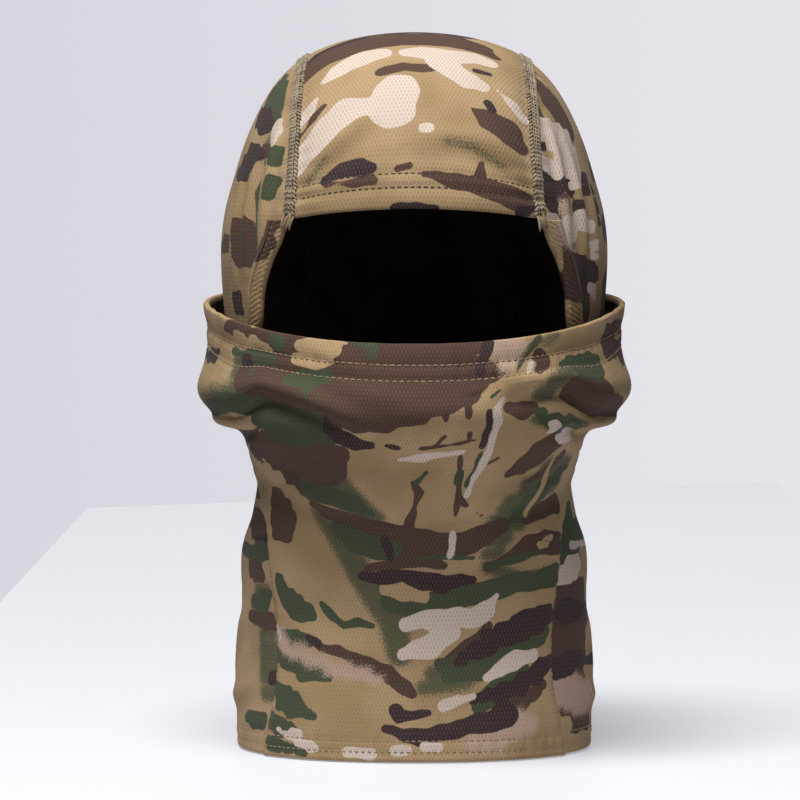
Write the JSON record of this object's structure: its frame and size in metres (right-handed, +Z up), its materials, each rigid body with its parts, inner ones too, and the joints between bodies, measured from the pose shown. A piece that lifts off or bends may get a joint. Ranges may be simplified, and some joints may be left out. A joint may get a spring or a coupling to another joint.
{
  "type": "camouflage face mask and hood",
  "caption": "Knit balaclava: a hood over the crown and neck, with a loose mask panel over nose, ears and throat that pulls down under the chin.",
  "frame": {"origin": "on the floor plane, under the middle of the part's bounding box, where the bottom hem stands", "axes": "+Z up through the crown, -Y out of the face opening, +X to the wearer's left"},
  "size_m": [0.1784, 0.23, 0.3012],
  "materials": {
    "crown_cloth": "matt printed knit, tan with brown and cream camouflage",
    "side_cloth": "matt printed knit, green and brown camouflage",
    "mask_cloth": "matt printed knit, tan, green and brown camouflage",
    "hem_cloth": "matt printed knit, turned under",
    "seam_braid": "matt looped thread",
    "seam_thread": "soft sheen sewing thread",
    "dark_thread": "soft sheen sewing thread"
  },
  "bodies": {
    "hood": {"crown_panel": "crown_cloth", "side_panel_left": "side_cloth", "side_panel_right": "side_cloth", "mask_front_panel": "mask_cloth", "crown_seam_left": "seam_braid", "crown_seam_right": "seam_braid", "brow_seam_tail_left": "seam_thread", "brow_seam_tail_right": "seam_thread", "brow_hem": "hem_cloth", "brow_stitch_lower": "dark_thread", "brow_stitch_upper": "dark_thread", "opening_hem_left": "hem_cloth", "opening_hem_right": "hem_cloth", "opening_stitch_left": "seam_thread", "opening_stitch_right": "seam_thread", "mask_seam_left": "seam_braid", "mask_seam_right": "seam_braid", "bottom_hem": "hem_cloth", "bottom_stitch_lower": "seam_thread", "bottom_stitch_upper": "seam_thread"},
    "mask_rim": {"mask_top_hem": "hem_cloth", "mask_top_stitch_upper": "seam_thread", "mask_top_stitch_lower": "seam_thread"}
  },
  "joints": [
    {"name": "mask_pull_down", "type": "hinge", "parent": "hood", "child": "mask_rim", "pos_m": [0, 0.0575, 0.19], "axis": [1, 0, 0], "range_deg": [0, 28], "deforming": ["mask_front_panel"]}
  ]
}
